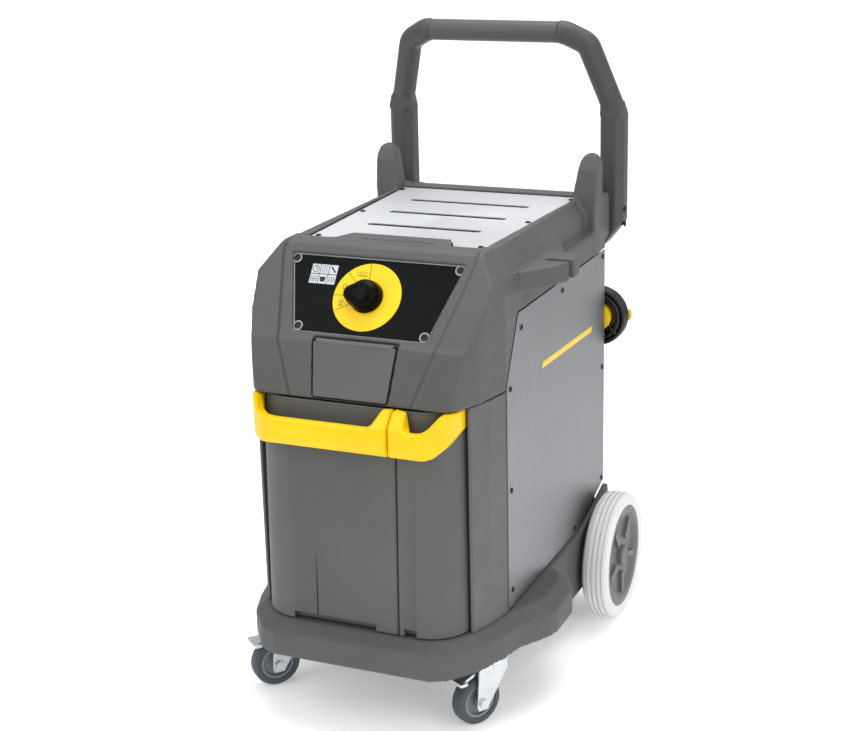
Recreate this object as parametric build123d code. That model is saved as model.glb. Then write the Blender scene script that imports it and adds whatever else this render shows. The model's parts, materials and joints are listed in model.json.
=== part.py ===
"""Steam cleaner on a trolley: two pull-out tanks, boiler, suction unit, push handle and mains cord.

Millimetres, +Z up. The origin is on the floor under the middle of the machine.
The front (tanks and controls) faces -Y and the push handle stands at +Y.
"""
from build123d import *
from math import cos, radians, sin, tan
import os

os.makedirs("parts", exist_ok=True)

# ---------------------------------------------------------------- driving dimensions
# All outlines are drawn from the middle of the wheelbase; each piece is moved back by this much when written.
MIDDLE_SHIFT_Y = -19.0
WIDTH = 495.0
FRONT_Y = -320.0

SKIRT_BOTTOM_Z = 112.0
SKIRT_TOP_Z = 150.0
DECK_Z = 164.0

BODY_HALF = 187.0
PANEL_FACE_X = 186.2
SHEET = 1.5
SEAM_Z = 502.0
BODY_REAR_Y = 287.0

TANK_HALF = 158.0
TANK_ROUND = 60.0
TANK_FRONT_TOP_Y = -286.0
TANK_FRONT_BOTTOM_Y = -296.0
TANK_BACK_Y = -124.0
TANK_BOTTOM_Z = 166.0
TANK_TOP_Z = 496.0
TANK_SPLIT_X = 69.0
TANK_GAP = 1.5
TANK_WALL = 3.0

PLATE_Z = 690.5
WHEEL_RADIUS = 104.0
WHEEL_WIDTH = 43.0
WHEEL_Y = 216.0
AXLE_RADIUS = 7.5

CASTER_RADIUS = 37.5
CASTER_WIDTH = 24.0
CASTER_X = 165.0
CASTER_Y = -185.0
CASTER_TRAIL = 28.0
CASTER_TURNS = {-1: -42.0, 1: -32.0}

PANEL_LEAN = 52.12
PANEL_CENTRE = (0.0, -209.5, 632.5)
KNOB_OFFSET_X = -3.0

CORD_DIAMETER = 8.0
HOOK_X = 172.0
HOOK_Z = 487.0
HANK_MIDDLE_RADIUS = 37.0
HANK_THICKNESS = 25.2


# ---------------------------------------------------------------- helpers
def block(x0, x1, y0, y1, z0, z1):
    """Box between two opposite corners."""
    centre = ((x0 + x1) / 2, (y0 + y1) / 2, (z0 + z1) / 2)
    return Pos(*centre) * Box(x1 - x0, y1 - y0, z1 - z0)


def prism_x(points, x0, x1):
    """Outline of (y, z) points pushed along X."""
    face = make_face(Polyline([(x0, y, z) for y, z in points], close=True))
    return extrude(face, amount=x1 - x0, dir=(1, 0, 0))


def prism_y(points, y0, y1):
    """Outline of (x, z) points pushed along Y."""
    face = make_face(Polyline([(x, y0, z) for x, z in points], close=True))
    return extrude(face, amount=y1 - y0, dir=(0, 1, 0))


def prism_z(points, z0, z1):
    """Outline of (x, y) points pushed along Z."""
    face = make_face(Polyline([(x, y, z0) for x, y in points], close=True))
    return extrude(face, amount=z1 - z0, dir=(0, 0, 1))


def rod(start, end, radius):
    """Round bar from one centre point to another."""
    start = Vector(*start)
    end = Vector(*end)
    plane = Plane(origin=start, z_dir=end - start)
    return extrude(plane * Circle(radius), amount=(end - start).length)


def tube(start, end, outer, inner):
    """Round tube from one centre point to another."""
    return rod(start, end, outer) - rod(start, end, inner)


def both(shape):
    """A shape together with its mirror image across the middle plane."""
    return Compound(children=[*shape.solids(), *mirror(shape, about=Plane.YZ).solids()])


def mirrored_outline(points):
    """Right-hand outline from front to rear, closed by its left-hand copy."""
    return points + [(-x, y) for x, y in reversed(points) if abs(x) > 0.001]


def arc_points(cx, cy, radius, start, end, count):
    """Points along an arc, angles in degrees."""
    step = (end - start) / (count - 1)
    angles = [radians(start + step * i) for i in range(count)]
    return [(cx + radius * cos(a), cy + radius * sin(a)) for a in angles]


def save(shape, name):
    """Write one named piece, moved so that the origin is under the middle of the whole machine."""
    moved = [Pos(0, MIDDLE_SHIFT_Y, 0) * solid for solid in shape.solids()]
    export_step(Compound(children=moved) if len(moved) > 1 else moved[0], f"parts/{name}.step")
    print(f"{name:24s} solids {len(shape.solids())} volume {shape.volume / 1000:9.1f} cm3")


def screw_head(point, direction, radius=4.0, depth=12.0):
    """Domed screw whose head stands just proud of the point."""
    point = Vector(*point)
    direction = Vector(*direction).normalized()
    plane = Plane(origin=point, z_dir=direction)
    head = extrude(plane * Circle(radius), amount=1.8)
    head = fillet(head.faces().sort_by(Axis(plane.origin, plane.z_dir))[-1].edges(), 1.2)
    socket = plane.offset(0.7) * Circle(radius * 0.45)
    head -= extrude(socket, amount=3)
    shank = extrude(plane * Circle(radius * 0.5), amount=-depth)
    return head + shank


# ---------------------------------------------------------------- chassis
SKIRT_OUTLINE = [
    (0, FRONT_Y), (120, FRONT_Y), (148, -306), (180, -262), (197, -216), (208, -172),
    (236, -124), (241, -104), (241, -36), (224, 0), (196, 16), (196, 288), (0, 288),
]
CROWN_OUTLINE = [
    (0, -297), (112, -297), (140, -284), (168, -248), (183, -208), (190, -166),
    (214, -118), (220, -100), (220, -40), (208, -8), (190, 4), (190, 283), (0, 283),
]


def chassis_base():
    """Moulded skirt and deck that carries everything, with caster pads and side rails."""
    lower = prism_z(mirrored_outline(SKIRT_OUTLINE), SKIRT_BOTTOM_Z, SKIRT_TOP_Z)
    bottom_ring = Polyline([(x, y, SKIRT_TOP_Z) for x, y in mirrored_outline(SKIRT_OUTLINE)], close=True)
    top_ring = Polyline([(x, y, DECK_Z) for x, y in mirrored_outline(CROWN_OUTLINE)], close=True)
    crown = loft([make_face(bottom_ring), make_face(top_ring)], ruled=True)
    body = lower + crown
    rail = [(-10, 118), (96, 66), (282, 66), (288, 74), (288, 170), (284, 202), (140, 165), (-10, 165)]
    body += prism_x(rail, 186, 196) + prism_x(rail, -196, -186)
    body -= block(-120, 120, -292, -150, SKIRT_BOTTOM_Z - 1, 146)
    body -= block(-110, 110, -140, 276, SKIRT_BOTTOM_Z - 1, 146)
    body -= block(-186, -122, -120, 276, SKIRT_BOTTOM_Z - 1, 146)
    body -= block(122, 186, -120, 276, SKIRT_BOTTOM_Z - 1, 146)
    for side in (-1, 1):
        body -= rod((side * 180, WHEEL_Y, WHEEL_RADIUS), (side * 200, WHEEL_Y, WHEEL_RADIUS), AXLE_RADIUS + 0.5)
        body -= rod((side * CASTER_X, CASTER_Y, 108), (side * CASTER_X, CASTER_Y, 132), 6.3)
    corners = body.edges().filter_by(Axis.Z).filter_by(lambda e: e.center().Z < 135 and e.center().Y < -100)
    outer = corners.filter_by(lambda e: abs(e.center().X) > 100 and e.center().Y < -140)
    outer = outer.filter_by(lambda e: e.length > 36)
    return fillet(outer, 9)


def axle_bracket(side):
    """Steel angle that holds the axle inside one side rail."""
    x0 = side * 181.5
    faces = sorted((x0, x0 + side * 4))
    upright = prism_x([(186, 145.5), (196, 92), (241, 92), (251, 145.5)], faces[0], faces[1])
    foot = block(min(side * 150, side * 181.5), max(side * 150, side * 181.5), 186, 251, 142.5, 145.5)
    hole = rod((side * 178, WHEEL_Y, WHEEL_RADIUS), (side * 190, WHEEL_Y, WHEEL_RADIUS), AXLE_RADIUS + 0.05)
    return upright + foot - hole


def rear_axle():
    """One steel axle across the machine with a turned groove at each end."""
    half = WIDTH / 2 - 8
    axle = rod((-half, WHEEL_Y, WHEEL_RADIUS), (half, WHEEL_Y, WHEEL_RADIUS), AXLE_RADIUS)
    return chamfer(axle.edges().filter_by(GeomType.CIRCLE), 1.2)


# ---------------------------------------------------------------- rear wheels
def ring_profile(points, side, centre_x):
    """Turn an (x, radius) outline about the axle line."""
    placed = [(centre_x + side * x, WHEEL_Y, WHEEL_RADIUS + r) for x, r in points]
    face = make_face(Polyline(placed, close=True))
    return revolve(face, Axis((0, WHEEL_Y, WHEEL_RADIUS), (1, 0, 0)), 360)


def rear_tyre(side):
    """Non-marking tyre with a crowned, grooved tread."""
    x = side * (WIDTH / 2 - WHEEL_WIDTH / 2)
    half = WHEEL_WIDTH / 2
    outline = [
        (-half + 2, 84), (-half, 90), (-half, 96), (-half + 4, 101.5), (-half + 9, 103.4), (0, WHEEL_RADIUS),
        (half - 9, 103.4), (half - 4, 101.5), (half, 96), (half, 90), (half - 2, 84),
    ]
    tyre = ring_profile(outline, side, x)
    for offset in (-12, -4, 4, 12):
        groove = [(offset - 1.1, 106), (offset - 1.1, 101), (offset + 1.1, 101), (offset + 1.1, 106)]
        tyre -= ring_profile(groove, side, x)
    return tyre


def rear_hub(side):
    """Dished plastic wheel disc with bore, rim and five raised webs."""
    x = side * (WIDTH / 2 - WHEEL_WIDTH / 2)
    half = WHEEL_WIDTH / 2
    outline = [
        (-half + 2, AXLE_RADIUS + 0.06), (half - 9, AXLE_RADIUS + 0.06), (half - 9, 60), (half - 2.5, 74), (half - 2.5, 84), (-half + 3, 84), (-half + 3, 76),
        (half - 14, 68), (half - 14, 24), (-half + 2, 22),
    ]
    hub = ring_profile(outline, side, x)
    for i in range(5):
        turn = 36 + 72 * i
        web = block(0, 6.4, -5, 5, 30, 66)
        web = Pos(x + side * (half - 10) - (6.4 if side < 0 else 0), WHEEL_Y, WHEEL_RADIUS) * Rot(turn, 0, 0) * web
        hub += web
    return hub


def rear_wheel_cap(side):
    """Press-on cap that holds the wheel on its axle."""
    x = side * (WIDTH / 2 - 8.7)
    cap = rod((x, WHEEL_Y, WHEEL_RADIUS), (x + side * 8.2, WHEEL_Y, WHEEL_RADIUS), 17)
    cap = fillet(cap.edges().filter_by(lambda e: abs(e.center().X) > abs(x) + 6), 3)
    return cap - rod((x - side, WHEEL_Y, WHEEL_RADIUS), (x + side * 1.0, WHEEL_Y, WHEEL_RADIUS), AXLE_RADIUS + 0.02)


# ---------------------------------------------------------------- casters
def caster_frame(side):
    """Placement of one caster: kingpin on the Z axis, wheel trailing towards -Y."""
    turn = CASTER_TURNS[side]
    return Pos(side * CASTER_X, CASTER_Y, 0) * Rot(0, 0, turn)


def caster_plate():
    """Threaded-stem head: race plate and stem under the chassis pad."""
    plate = Pos(0, 0, 109.2) * Cylinder(27, 4.6)
    stem = Pos(0, 0, 121) * Cylinder(6, 22)
    race = Pos(0, 0, 104.4) * (Cylinder(20, 5.2) - Cylinder(9.5, 5.3))
    pin = Pos(0, 0, 99.5) * Cylinder(6, 17)
    rivet = Pos(0, 0, 92.2) * Cylinder(9, 2)
    return fillet(plate.edges().filter_by(GeomType.CIRCLE), 1.2) + stem + race + pin + rivet


def caster_fork():
    """Pressed zinc fork: crown round the kingpin and two cheeks down to the wheel axle."""
    crown = Pos(0, 0, 99.2) * Cylinder(26, 4.6)
    crown = fillet(crown.edges().group_by(Axis.Z)[-1], 1.5)
    arch = block(-19, 19, -28, 14, 93.5, 97)
    cheek = [(-CASTER_TRAIL - 11, 33), (-CASTER_TRAIL - 8, 26), (-CASTER_TRAIL + 8, 26), (-CASTER_TRAIL + 12, 34),
             (16, 82), (16, 97), (-30, 97), (-34, 90)]
    cheeks = prism_x(cheek, 16.5, 19) + prism_x(cheek, -19, -16.5)
    fork = crown + arch + cheeks
    fork -= Pos(0, 0, 97) * Cylinder(6.05, 20)
    fork -= rod((-25, -CASTER_TRAIL, CASTER_RADIUS), (25, -CASTER_TRAIL, CASTER_RADIUS), 4.06)
    fork -= rod((-25, -24, 84), (25, -24, 84), 3.06)
    return fork


def caster_tyre():
    """Solid grey tread ring with rounded shoulders."""
    half = CASTER_WIDTH / 2
    ring = Cylinder(CASTER_RADIUS, 2 * half)
    ring = fillet(ring.edges().filter_by(GeomType.CIRCLE), 6.5)
    ring -= Cylinder(27, CASTER_WIDTH + 1)
    return Pos(0, -CASTER_TRAIL, CASTER_RADIUS) * Rot(0, 90, 0) * ring


def caster_hub():
    """Wheel core with a boss each side and thread-guard recess."""
    core = Cylinder(27, 20) - Pos(0, 0, 9.5) * Cylinder(22, 8) - Pos(0, 0, -9.5) * Cylinder(22, 8)
    core += Cylinder(9.5, 30)
    core -= Cylinder(4.06, 40)
    return Pos(0, -CASTER_TRAIL, CASTER_RADIUS) * Rot(0, 90, 0) * core


def caster_axle():
    """Through bolt with a hexagon head and a nut."""
    bolt = rod((-23, -CASTER_TRAIL, CASTER_RADIUS), (23, -CASTER_TRAIL, CASTER_RADIUS), 4)
    head_plane = Plane(origin=(19.05, -CASTER_TRAIL, CASTER_RADIUS), z_dir=(1, 0, 0))
    nut_plane = Plane(origin=(-19.05, -CASTER_TRAIL, CASTER_RADIUS), z_dir=(-1, 0, 0))
    head = extrude(head_plane * RegularPolygon(7.5, 6), amount=4.5)
    nut = extrude(nut_plane * RegularPolygon(7.5, 6), amount=4.5)
    return bolt + head + nut


def caster_brake():
    """Foot pedal of the brake, hinged on a pin between the fork cheeks."""
    pin = rod((-19, -24, 84), (19, -24, 84), 3)
    arm = prism_x([(-21, 80.5), (-26, 78.5), (-31, 83), (-60, 73), (-60, 76.5), (-33, 88), (-22, 88)], -12, 12)
    tread = block(-17, 17, -66, -52, 72.4, 77)
    tread = fillet(tread.edges().filter_by(Axis.Z), 3)
    return pin + arm + tread


# ---------------------------------------------------------------- body frame and panels
def body_frame():
    """Bay round the tanks and the flanged rings behind the side covers."""
    wall = block(-184, 184, -118, -114, DECK_Z + 0.3, SEAM_Z + 92)
    cheek = [
        (159.6, -244), (161.5, -250), (165.5, -249), (178, -211), (BODY_HALF, -169), (185.8, -167), (185.8, -118),
        (159.6, -118),
    ]
    hollow = [(162.4, -238), (164, -238), (175, -205), (182, -174), (182, -121), (162.4, -121)]
    right = prism_z(cheek, DECK_Z + 0.3, SEAM_Z - 1) - prism_z(hollow, DECK_Z + 6, SEAM_Z - 6)
    left = mirror(right, about=Plane.YZ)
    return drill_side_holes(wall + right + left + side_frame(1) + side_frame(-1))


SIDE_PANEL = [
    (-166, 172), (-166, 508), (-118, 603), (282.5, 603), (282.5, 207), (141, 167), (-158, 167),
]
SIDE_SCREWS = [
    (-107, 579), (72, 588), (270, 594), (271, 408), (271, 214), (131, 178), (-151, 193), (-152, 348), (-153, 501),
]


def drill_side_holes(shape):
    """Pilot holes for the side cover screws."""
    for y, z in SIDE_SCREWS:
        shape -= rod((180, y, z), (190, y, z), 2.2) + rod((-190, y, z), (-180, y, z), 2.2)
    return shape


def side_panel(side):
    """Brushed steel cover sheet with clipped corners."""
    x0 = PANEL_FACE_X if side > 0 else -PANEL_FACE_X - SHEET
    sheet = prism_x(SIDE_PANEL, x0, x0 + SHEET)
    for y, z in SIDE_SCREWS:
        sheet -= rod((side * 180, y, z), (side * 195, y, z), 2.3)
    return sheet


def side_panel_screws():
    """Black countersunk screws along the edges of both side covers."""
    screws = [screw_head((PANEL_FACE_X + SHEET, y, z), (1, 0, 0), 4.2, 5.5) for y, z in SIDE_SCREWS]
    right = Compound(children=[s.solid() for s in screws])
    return both(right)


def side_frame(side):
    """Flanged ring behind one side cover: everything the cover screws pull against."""
    x0, x1 = (182.4, 186.0) if side > 0 else (-186.0, -182.4)
    ring = prism_x([(-118, 170), (-118, 540), (-90, 600), (274, 600), (274, 208), (140, 170)], x0, x1)
    hole = prism_x([(-90, 190), (-90, 530), (-70, 575), (251, 575), (251, 226), (135, 192)], x0 - 1, x1 + 1)
    return ring - hole


REAR_SCREWS = [(x, z) for x in (-168, 168) for z in (222, 400, 580)]


def rear_panel():
    """Tray-shaped rear cover with louvres and openings for the cord and hooks."""
    outer = block(-185.8, 185.8, 274.6, BODY_REAR_Y, 206, 596)
    outer = fillet(outer.edges().filter_by(Axis.Z).group_by(Axis.Y)[-1], 5)
    tray = outer - block(-182.6, 182.6, 260, BODY_REAR_Y - 3, 209, 593)
    for i in range(9):
        z = 258 + 14 * i
        for x in (-70, 70):
            tray -= block(x - 48, x + 48, 280, 295, z, z + 5)
    for x, z in REAR_SCREWS:
        tray -= rod((x, 280, z), (x, 290, z), 2.2)
    return tray


def rear_panel_screws():
    """Six screws round the rear cover."""
    heads = [screw_head((x, BODY_REAR_Y, z), (0, 1, 0), 4.2, 10) for x, z in REAR_SCREWS]
    return Compound(children=[h.solid() for h in heads])


# ---------------------------------------------------------------- upper housing
def housing_mass(inset):
    """Outer shape of the upper housing, shrunk by an inset for its inside."""
    i = inset
    side_view = [
        (-287 + i, SEAM_Z), (-263 + i, 579), (-254 + i, 586), (-170 + i, 694 - i), (-160 + i, 697 - i),
        (-126, 697 - i), (-118, 694 - i), (BODY_REAR_Y - i, 694 - i), (BODY_REAR_Y - i, 604), (-119, 604),
        (-167.5, 508.5), (-167.5, SEAM_Z),
    ]
    plan = [
        (0, -290 + i), (150 - 0.7 * i, -290 + i), (174 - 0.9 * i, -234), (BODY_HALF - i, -168),
        (BODY_HALF - i, BODY_REAR_Y + 1), (0, BODY_REAR_Y + 1),
    ]
    half = BODY_HALF - i
    front_view = [(-half, 490), (half, 490), (half, 648), (150 - i, 702), (-150 + i, 702), (-half, 648)]
    side_prism = prism_x(side_view, -190, 190)
    plan_prism = prism_z(mirrored_outline(plan), 480, 710)
    front_prism = prism_y(front_view, -300, 310)
    corners = plan_prism.edges().filter_by(Axis.Z).filter_by(lambda e: e.center().Y < -280)
    plan_prism = fillet(corners, 40 - i)
    shoulders = front_prism.edges().filter_by(Axis.Y).filter_by(lambda e: 640 < e.center().Z < 660)
    front_prism = fillet(shoulders, 44 - i)
    brows = side_prism.edges().filter_by(Axis.X).filter_by(lambda e: e.center().Y < -150 and e.center().Z > 570)
    side_prism = fillet(brows, 6)
    return side_prism & plan_prism & front_prism


def towers():
    """Horn-like towers in front of the handle legs."""
    front = [(227, 604), (227, 694), (232, 740), (240, 760), (248, 766), (256, 764), (262, 752), (262, 604)]
    across = [(150, 604), (150, 694), (160, 752), (166, 762), (176, 766), (186, 760), (190, 748), (188, 604)]
    right = prism_x(front, 140, 200) & prism_y(across, 220, 270)
    right = fillet(right.edges().filter_by(lambda e: e.center().Z > 720), 2.5)
    return right, mirror(right, about=Plane.YZ)


def both_ears():
    """Rearward ears that carry the handle legs: a visible shoulder and a screwed tongue inside each leg."""
    shoulder = prism_x([(258, 606), (312.6, 622), (312.6, 684), (304, 692), (258, 692)], 160, 186)
    tongue = prism_x([(258, 612), (330, 612), (348, 630), (348, 672), (336, 684), (258, 684)], 148, 164.1)
    right = shoulder + tongue
    return right + mirror(right, about=Plane.YZ)


def accessory_ledge():
    """Moulded holder on the right side with a slot for hanging an accessory."""
    plan = [(184, -112), (190, -110), (222, -66), (236, -34), (237, 4), (228, 18), (184, 26)]
    ledge = prism_z(plan, 632, 661)
    ledge = fillet(ledge.edges().group_by(Axis.Z)[-1].filter_by(lambda e: e.center().X > 190), 2.5)
    slot = block(196, 240, -34, -18, 640, 670) + block(216, 240, -34, -18, 620, 670)
    return ledge - slot


PANEL_NORMAL = (0, -sin(radians(PANEL_LEAN)), cos(radians(PANEL_LEAN)))
PANEL_PLANE = Plane(origin=PANEL_CENTRE, x_dir=(1, 0, 0), z_dir=PANEL_NORMAL)
PANEL_OUTLINE = [(-134, 59), (134, 59), (101.5, -60), (-101.5, -60)]


def panel_prism(outline, bottom, top):
    """Outline drawn on the control panel pushed along its normal."""
    face = PANEL_PLANE.offset(bottom) * make_face(Polyline(outline, close=True))
    return extrude(face, amount=top - bottom)


def upper_housing():
    """Moulded upper body: fascia, shoulders, towers and ledge, hollow underneath."""
    shell = housing_mass(0)
    for side in (-1, 1):
        shell -= block(min(side * 172, side * 195), max(side * 172, side * 195), 86, 227, 640, 700)
    hollow = housing_mass(4)
    for side in (-1, 1):
        wall = sorted((side * 164, side * 172))
        step = sorted((side * 168, side * 190))
        hollow -= block(wall[0], wall[1], 80, 232, 600, 700)
        hollow -= block(step[0], step[1], 82, 231, 636, 640.2)
    right_tower, left_tower = towers()
    shell = shell - hollow + right_tower + left_tower + accessory_ledge() + both_ears()
    seat = [(-138, -133), (138, -133), (152.5, 257), (-152.5, 257)]
    shell -= prism_z(seat, PLATE_Z - SHEET - 0.2, 720)
    shell += prism_z([(-94, -134), (-77, -92), (77, -92), (94, -134)], 686, 695.5)
    shell -= prism_z(VENT_WINDOW, 600, 720)
    grip = block(-58, 64, -130, -122, 690, 700)
    shell -= fillet(grip.edges().filter_by(Axis.Z), 3.9)
    shell += panel_prism([(x * 1.03, y * 1.05) for x, y in PANEL_OUTLINE], -5, 3)
    shell -= panel_prism(PANEL_OUTLINE, -1.8, 20)
    for x, y in PANEL_SCREWS:
        shell -= extrude(PANEL_PLANE.offset(-14) * Pos(x, y) * Circle(2.9), amount=20)
    shell -= panel_prism([(x * 0.9, y * 0.84) for x, y in PANEL_OUTLINE], -12, 5)
    shell -= flap_recess()
    shell += socket_boss()
    shell -= rod((-68, *FLAP_AXIS), (68, *FLAP_AXIS), 1.52)
    for side in (-1, 1):
        for y, z in HANDLE_SCREWS:
            shell -= rod((side * 148, y, z), (side * 166, y, z), 2.7)
    return shell


VENT_WINDOW = [(-112, -60), (112, -60), (124, 205), (-124, 205)]

FLAP_AXIS = (-259.5, 578.5)
FLAP_BOTTOM = (-284.6, 506.5)


def flap_recess():
    """Tapered pocket in the fascia that receives the socket flap."""
    pocket = prism_x([(-300, 504.5), (-276, 504.5), (-250, 584.5), (-300, 584.5)], -70, 70)
    trim = prism_y([(-66, 585), (66, 585), (57.5, 500), (-57.5, 500)], -310, -240)
    return pocket & trim


def socket_boss():
    """Wall behind the flap with the seat for the hose socket, and a lug for each end of the hinge pin."""
    wall = prism_x([(-276, 503), (-270, 503), (-247, 578), (-252, 580)], -70, 70)
    seat = rod((0, -280, 543), (0, -236, 543), 23.2)
    lugs = block(65.8, 72, -262, -253, 572, 582) + block(-72, -65.8, -262, -253, 572, 582)
    return wall - seat + lugs


# ---------------------------------------------------------------- top cover and controls
def top_plate():
    """Louvred stainless cover with a cut-out round the front grip."""
    outline = [
        (-136.5, -131.5), (-95.5, -131.5), (-78.5, -90), (78.5, -90), (95.5, -131.5), (136.5, -131.5),
        (150.5, 255.5), (-150.5, 255.5),
    ]
    plate = prism_z(outline, PLATE_Z - SHEET, PLATE_Z)
    for half, y in ((92, -14), (97, 76), (101, 166)):
        slot = SlotOverall(2 * half, 13)
        plate -= Pos(0, y, PLATE_Z - 5) * extrude(slot, amount=10)
    for x, y in TOP_SCREWS:
        plate -= Pos(x, y, PLATE_Z) * Cylinder(2.3, 10)
    return plate


TOP_SCREWS = [(sx * x, y) for x, y in ((128, -107), (136.5, 63), (146, 236)) for sx in (-1, 1)]


def top_plate_screws():
    """Low screws that hold the top cover."""
    heads = [screw_head((x, y, PLATE_Z), (0, 0, 1), 4.2, 8) for x, y in TOP_SCREWS]
    return Compound(children=[h.solid() for h in heads])


def control_panel():
    """Glossy black panel leaning back in the fascia."""
    outline = [(x * 0.994, y * 0.99) for x, y in PANEL_OUTLINE]
    plate = panel_prism(outline, -1.5, 0.5)
    plate = fillet(plate.edges().filter_by(lambda e: abs(e.length - 2.0) < 0.01), 5)
    for x, y in PANEL_SCREWS:
        plate -= extrude(PANEL_PLANE.offset(-5) * Pos(x, y) * Circle(2.9), amount=10)
    plate -= extrude(PANEL_PLANE.offset(-5) * Pos(KNOB_OFFSET_X, 0) * Circle(5.2), amount=10)
    return plate


PANEL_SCREWS = [(-126, 51.5), (126, 51.5), (97, -51.3), (-97, -51.3)]


def control_panel_screws():
    """Socket screws with raised collars in the corners of the control panel."""
    parts = []
    for x, y in PANEL_SCREWS:
        point = PANEL_PLANE.from_local_coords((x, y, 0.55))
        parts.append(screw_head(tuple(point), tuple(PANEL_PLANE.z_dir), 5.6, 9).solid())
    return Compound(children=parts)


def dial_plate():
    """Round yellow scale behind the selector knob."""
    plane = PANEL_PLANE.offset(0.5)
    disc = extrude(plane * Pos(KNOB_OFFSET_X, 0) * Circle(51.5), amount=0.8)
    return disc - extrude(PANEL_PLANE.offset(-2) * Pos(KNOB_OFFSET_X, 0) * Circle(5.2), amount=6)


def selector_switch():
    """Rotary switch body behind the panel with its spindle through it."""
    body = extrude(PANEL_PLANE.offset(-40) * Pos(KNOB_OFFSET_X, 0) * Rectangle(46, 46), amount=38.3)
    body = fillet(body.edges().filter_by(Axis(PANEL_PLANE.origin, PANEL_PLANE.z_dir)), 4)
    spindle = extrude(PANEL_PLANE.offset(-2) * Pos(KNOB_OFFSET_X, 0) * Circle(4), amount=14)
    return body + spindle


def selector_knob():
    """Pointer knob: round skirt, raised grip bar ending in a pointer towards -X."""
    base_plane = PANEL_PLANE.offset(1.7)
    skirt = extrude(base_plane * Pos(KNOB_OFFSET_X, 0) * Circle(25.5), amount=9, taper=6)
    grip_line = Polyline([(-31, 3.5), (-31, -3.5), (-16, -11), (14, -9.5), (21, -5), (21, 5), (14, 9.5), (-16, 11)],
                         close=True)
    grip = extrude(base_plane * Pos(KNOB_OFFSET_X, 0) * make_face(grip_line), amount=24, taper=5)
    knob = skirt + grip
    knob = fillet(knob.faces().sort_by(Axis(PANEL_PLANE.origin, PANEL_PLANE.z_dir))[-1].edges(), 2.5)
    bore = extrude(PANEL_PLANE * Pos(KNOB_OFFSET_X, 0) * Circle(4.05), amount=12.2)
    return knob - bore


def flap_hinge_pin():
    """Steel pin through the flap barrel."""
    return rod((-67.5, *FLAP_AXIS), (67.5, *FLAP_AXIS), 1.5)


def socket_flap():
    """Spring-loaded flap over the hose socket, hung on its upper edge."""
    y0, z0 = FLAP_AXIS
    y1, z1 = FLAP_BOTTOM
    plate = prism_x([(y0 - 3.5, z0), (y1 - 1.5, z1), (y1 + 1.5, z1), (y0 - 0.5, z0)], -70, 70)
    trim = prism_y([(-63.5, 584.5), (63.5, 584.5), (55, 500), (-55, 500)], -310, -240)
    barrel = rod((-59, y0, z0), (59, y0, z0), 4.2)
    flap = (plate & trim) + barrel
    return flap - rod((-70, y0, z0), (70, y0, z0), 1.56)


def hose_socket():
    """Round socket for the steam and suction hose with a stepped bore."""
    body = rod((0, -272, 543), (0, -215, 543), 22.9)
    flange = rod((0, -274.6, 543), (0, -271, 543), 22.9)
    socket = body + flange
    socket -= rod((0, -280, 543), (0, -232, 543), 17.5)
    socket -= rod((0, -235, 543), (0, -210, 543), 14.0)
    tray = prism_x([(-300, 400), (-270.5, 503), (-245, 585), (-300, 585)], -40, 40)
    return socket - tray


# ---------------------------------------------------------------- tanks
def tank_outline(x0, x1, y_front, left_round, right_round):
    """Plan outline of a tank with rounded outer front corners."""
    points = [(x0, TANK_BACK_Y)]
    if left_round:
        points += arc_points(x0 + left_round, y_front + left_round, left_round, 180, 270, 15)
    else:
        points += [(x0, y_front + 2), (x0 + 2, y_front)]
    if right_round:
        points += arc_points(x1 - right_round, y_front + right_round, right_round, 270, 360, 15)
    else:
        points += [(x1 - 2, y_front), (x1, y_front + 2)]
    return points + [(x1, TANK_BACK_Y)]


def tank_mass(x0, x1, left_round, right_round, inset, z0, z1):
    """Tank solid leaning slightly back towards its top."""
    i = inset
    low = tank_outline(x0 + i, x1 - i, TANK_FRONT_BOTTOM_Y + i, left_round, right_round)
    high = tank_outline(x0 + i, x1 - i, TANK_FRONT_TOP_Y + i, left_round, right_round)
    low = [(x, min(y, TANK_BACK_Y - i)) for x, y in low]
    high = [(x, min(y, TANK_BACK_Y - i)) for x, y in high]
    bottom = make_face(Polyline([(x, y, z0) for x, y in low], close=True))
    top = make_face(Polyline([(x, y, z1) for x, y in high], close=True))
    return loft([bottom, top], ruled=True)


def tank(x0, x1, left_round, right_round, notch):
    """Open-topped bucket with a finger recess under its front edge."""
    outer = tank_mass(x0, x1, left_round, right_round, 0, TANK_BOTTOM_Z, TANK_TOP_Z)
    inner = tank_mass(x0, x1, left_round, right_round, TANK_WALL, TANK_BOTTOM_Z + 14, TANK_TOP_Z + 1)
    bucket = outer - inner
    bucket -= block(notch[0], notch[1], -300, -287, TANK_BOTTOM_Z - 1, TANK_BOTTOM_Z + 10)
    return bucket


def waste_tank():
    """Large waste-water tank on the left."""
    bucket = tank(-TANK_HALF, TANK_SPLIT_X - TANK_GAP / 2, TANK_ROUND, 0, (-96, 34))
    bucket -= block(-58.8, -57.2, -300, -292.6, TANK_BOTTOM_Z, TANK_TOP_Z - 4)
    return bucket


def fresh_tank():
    """Smaller fresh-water tank on the right."""
    return tank(TANK_SPLIT_X + TANK_GAP / 2, TANK_HALF, 0, TANK_ROUND, (78, 97))


GRIP_SIDE = [
    (-232, 501), (-297, 501), (-316, 482), (-319, 470), (-319, 450), (-315, 441), (-306, 438), (-232, 438),
]


def tank_grip(front_view, plan):
    """Grip made where a front, a plan and a side outline cross."""
    return prism_y(front_view, -330, -230) & prism_z(plan, 400, 520) & prism_x(GRIP_SIDE, -180, 180)


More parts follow.
